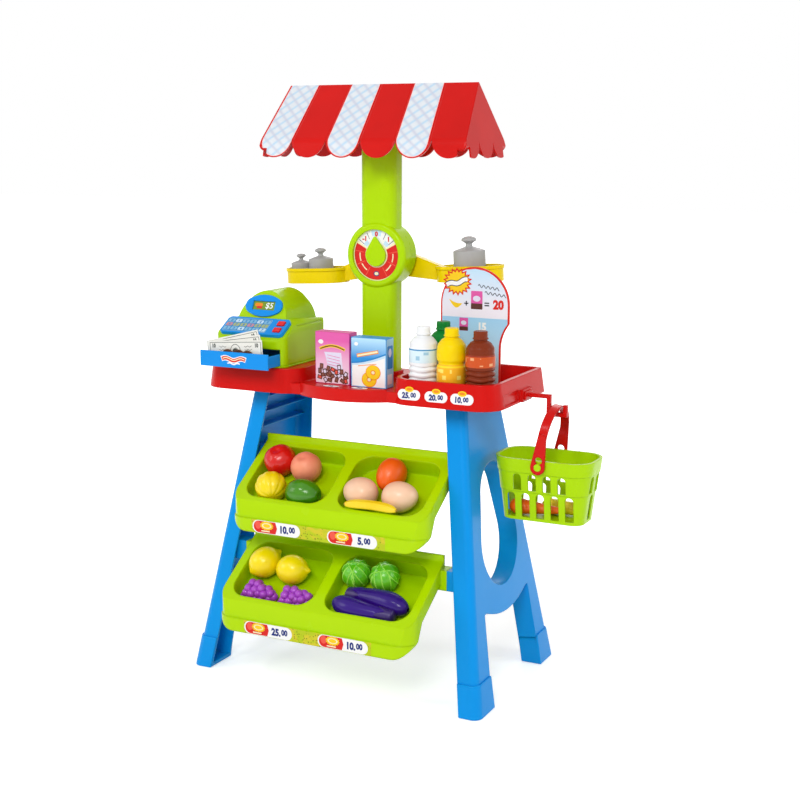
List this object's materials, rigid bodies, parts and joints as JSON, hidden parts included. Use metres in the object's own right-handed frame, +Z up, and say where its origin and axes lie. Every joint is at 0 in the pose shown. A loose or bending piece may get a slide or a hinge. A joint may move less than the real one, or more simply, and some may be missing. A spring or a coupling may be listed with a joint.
{
  "type": "toy market stall",
  "caption": "Toy market stall with splayed side panels, tilted produce trays, counter with till and bottle bin, column balance scale, gable roof and hanging basket.",
  "frame": {"origin": "centre of the footprint box on the floor", "axes": "+Z up, -Y towards the shopper at the front, +X towards the basket side"},
  "size_m": [0.5604, 0.3368, 0.83],
  "materials": {
    "panel_blue": "gloss moulded",
    "lime": "gloss moulded",
    "counter_red": "gloss moulded",
    "roof_red": "satin moulded with striped print",
    "dial_white": "printed disc",
    "balance_yellow": "gloss moulded",
    "weight_grey": "satin moulded",
    "till_blue": "gloss moulded",
    "key_red": "gloss moulded",
    "lcd_green": "clear window",
    "paper": "printed paper",
    "coin_brown": "matt",
    "bottle_white": "gloss moulded",
    "bottle_green": "gloss moulded",
    "bottle_yellow": "gloss moulded",
    "bottle_brown": "gloss moulded",
    "carton_pink": "printed card",
    "carton_blue": "printed card",
    "sign_card": "printed card",
    "carrot_orange": "gloss moulded",
    "corn_yellow": "gloss moulded",
    "tomato_red": "gloss moulded",
    "peach_pink": "gloss moulded",
    "melon_yellow": "gloss moulded",
    "avocado_green": "gloss moulded",
    "mango_orange": "gloss moulded",
    "egg_tan": "satin moulded",
    "banana_yellow": "gloss moulded",
    "lemon_yellow": "gloss moulded",
    "grape_purple": "gloss moulded",
    "cabbage_green": "gloss moulded",
    "aubergine": "gloss moulded"
  },
  "bodies": {
    "stall": {"leg_panel_left": "panel_blue", "leg_panel_right": "panel_blue", "foot_caps_left": "panel_blue", "foot_caps_right": "panel_blue", "shelf_upper": "lime", "shelf_lower": "lime", "counter": "counter_red", "column_front": "lime", "column_back": "lime", "dial_plate": "dial_white", "roof": "roof_red", "till_shell": "lime", "till_base": "lime", "keypad": "till_blue", "display_bezel": "till_blue", "display_screen": "lcd_green", "basket_hook": "counter_red"},
    "drawer": {"cash_drawer": "till_blue"},
    "balance": {"balance_beam": "balance_yellow", "balance_shaft": "lime", "pointer": "lime"},
    "handle": {"basket_handle": "counter_red"},
    "basket": {"basket": "lime"},
    "key_upper": {"key_upper": "key_red"},
    "key_lower": {"key_lower": "key_red"},
    "weight_large": {"weight_large": "weight_grey"},
    "weight_medium": {"weight_medium": "weight_grey"},
    "weight_small": {"weight_small": "weight_grey"},
    "banknotes": {"banknotes": "paper"},
    "coins": {"coins": "coin_brown"},
    "bottle_white": {"bottle_white": "bottle_white"},
    "bottle_yellow": {"bottle_yellow": "bottle_yellow"},
    "bottle_brown": {"bottle_brown": "bottle_brown"},
    "bottle_green": {"bottle_green": "bottle_green"},
    "carton_pink": {"carton_pink": "carton_pink"},
    "carton_blue": {"carton_blue": "carton_blue"},
    "sign_card": {"sign_card": "sign_card"},
    "basket_carrot": {"basket_carrot": "carrot_orange"},
    "basket_corn": {"basket_corn": "corn_yellow"},
    "tomato": {"tomato": "tomato_red"},
    "peach": {"peach": "peach_pink"},
    "melon": {"melon": "melon_yellow"},
    "avocado": {"avocado": "avocado_green"},
    "mango": {"mango": "mango_orange"},
    "egg_left": {"egg_left": "egg_tan"},
    "egg_right": {"egg_right": "egg_tan"},
    "banana": {"banana": "banana_yellow"},
    "lemon_left": {"lemon_left": "lemon_yellow"},
    "lemon_right": {"lemon_right": "lemon_yellow"},
    "cabbage_left": {"cabbage_left": "cabbage_green"},
    "cabbage_right": {"cabbage_right": "cabbage_green"},
    "grapes_left": {"grapes_left": "grape_purple"},
    "grapes_right": {"grapes_right": "grape_purple"},
    "aubergine_back": {"aubergine_back": "aubergine"},
    "aubergine_front": {"aubergine_front": "aubergine"}
  },
  "joints": [
    {"name": "drawer_slide", "type": "slide", "parent": "stall", "child": "drawer", "axis": [0, 1, 0], "range_m": [-0.02, 0.027]},
    {"name": "balance_tilt", "type": "hinge", "parent": "stall", "child": "balance", "pos_m": [-0.05268, 0.07605, 0.595], "axis": [0, 1, 0], "range_deg": [-5, 11]},
    {"name": "handle_swing", "type": "hinge", "parent": "stall", "child": "handle", "pos_m": [0.22032, 0.03105, 0.39825], "axis": [0, 1, 0], "range_deg": [-18, 3]},
    {"name": "basket_swing", "type": "hinge", "parent": "handle", "child": "basket", "pos_m": [0.21018, 0.03105, 0.32612], "axis": [0, 1, 0], "range_deg": [-8, 8]},
    {"name": "key_upper_press", "type": "slide", "parent": "stall", "child": "key_upper", "axis": [0, -0.5222, 0.8529], "range_m": [-0.0019, 0], "stiffness_N_per_m": 300},
    {"name": "key_lower_press", "type": "slide", "parent": "stall", "child": "key_lower", "axis": [0, -0.5222, 0.8529], "range_m": [-0.0019, 0], "stiffness_N_per_m": 300},
    {"name": "weight_large_lift", "type": "slide", "parent": "balance", "child": "weight_large", "axis": [-0.0523, 0, 0.9986], "range_m": [0, 0.06]},
    {"name": "weight_medium_lift", "type": "slide", "parent": "balance", "child": "weight_medium", "axis": [-0.0523, 0, 0.9986], "range_m": [0, 0.06]},
    {"name": "weight_small_lift", "type": "slide", "parent": "balance", "child": "weight_small", "axis": [-0.0523, 0, 0.9986], "range_m": [0, 0.06]},
    {"name": "banknotes_lift", "type": "slide", "parent": "drawer", "child": "banknotes", "axis": [0, 0, 1], "range_m": [0, 0.045]},
    {"name": "coins_lift", "type": "slide", "parent": "drawer", "child": "coins", "axis": [0, 0, 1], "range_m": [0, 0.025]},
    {"name": "bottle_white_lift", "type": "slide", "parent": "stall", "child": "bottle_white", "axis": [0, 0, 1], "range_m": [0, 0.11]},
    {"name": "bottle_yellow_lift", "type": "slide", "parent": "stall", "child": "bottle_yellow", "axis": [0, 0, 1], "range_m": [0, 0.11]},
    {"name": "bottle_brown_lift", "type": "slide", "parent": "stall", "child": "bottle_brown", "axis": [0, 0, 1], "range_m": [0, 0.11]},
    {"name": "bottle_green_lift", "type": "slide", "parent": "stall", "child": "bottle_green", "axis": [0, 0, 1], "range_m": [0, 0.11]},
    {"name": "carton_pink_lift", "type": "slide", "parent": "stall", "child": "carton_pink", "axis": [0, 0, 1], "range_m": [0, 0.06]},
    {"name": "carton_blue_lift", "type": "slide", "parent": "stall", "child": "carton_blue", "axis": [0, 0, 1], "range_m": [0, 0.06]},
    {"name": "sign_card_lift", "type": "slide", "parent": "stall", "child": "sign_card", "axis": [0, 0, 1], "range_m": [0, 0.05]},
    {"name": "basket_carrot_lift", "type": "slide", "parent": "basket", "child": "basket_carrot", "axis": [0, 0, 1], "range_m": [0, 0.035]},
    {"name": "basket_corn_lift", "type": "slide", "parent": "basket", "child": "basket_corn", "axis": [0, 0, 1], "range_m": [0, 0.035]},
    {"name": "tomato_lift", "type": "slide", "parent": "stall", "child": "tomato", "axis": [0, -0.5459, 0.8379], "range_m": [0, 0.04]},
    {"name": "peach_lift", "type": "slide", "parent": "stall", "child": "peach", "axis": [0, -0.5459, 0.8379], "range_m": [0, 0.04]},
    {"name": "melon_lift", "type": "slide", "parent": "stall", "child": "melon", "axis": [0, -0.5459, 0.8379], "range_m": [0, 0.04]},
    {"name": "avocado_lift", "type": "slide", "parent": "stall", "child": "avocado", "axis": [0, -0.5459, 0.8379], "range_m": [0, 0.04]},
    {"name": "mango_lift", "type": "slide", "parent": "stall", "child": "mango", "axis": [0, -0.5459, 0.8379], "range_m": [0, 0.04]},
    {"name": "egg_left_lift", "type": "slide", "parent": "stall", "child": "egg_left", "axis": [0, -0.5459, 0.8379], "range_m": [0, 0.04]},
    {"name": "egg_right_lift", "type": "slide", "parent": "stall", "child": "egg_right", "axis": [0, -0.5459, 0.8379], "range_m": [0, 0.04]},
    {"name": "banana_lift", "type": "slide", "parent": "stall", "child": "banana", "axis": [0, -0.5459, 0.8379], "range_m": [0, 0.04]},
    {"name": "lemon_left_lift", "type": "slide", "parent": "stall", "child": "lemon_left", "axis": [0, -0.5459, 0.8379], "range_m": [0, 0.022]},
    {"name": "lemon_right_lift", "type": "slide", "parent": "stall", "child": "lemon_right", "axis": [0, -0.5459, 0.8379], "range_m": [0, 0.022]},
    {"name": "cabbage_left_lift", "type": "slide", "parent": "stall", "child": "cabbage_left", "axis": [0, -0.5459, 0.8379], "range_m": [0, 0.022]},
    {"name": "cabbage_right_lift", "type": "slide", "parent": "stall", "child": "cabbage_right", "axis": [0, -0.5459, 0.8379], "range_m": [0, 0.022]},
    {"name": "grapes_left_lift", "type": "slide", "parent": "stall", "child": "grapes_left", "axis": [0, -0.5459, 0.8379], "range_m": [0, 0.04]},
    {"name": "grapes_right_lift", "type": "slide", "parent": "stall", "child": "grapes_right", "axis": [0, -0.5459, 0.8379], "range_m": [0, 0.04]},
    {"name": "aubergine_back_lift", "type": "slide", "parent": "stall", "child": "aubergine_back", "axis": [0, -0.5459, 0.8379], "range_m": [0, 0.04]},
    {"name": "aubergine_front_lift", "type": "slide", "parent": "stall", "child": "aubergine_front", "axis": [0, -0.5459, 0.8379], "range_m": [0, 0.04]}
  ]
}
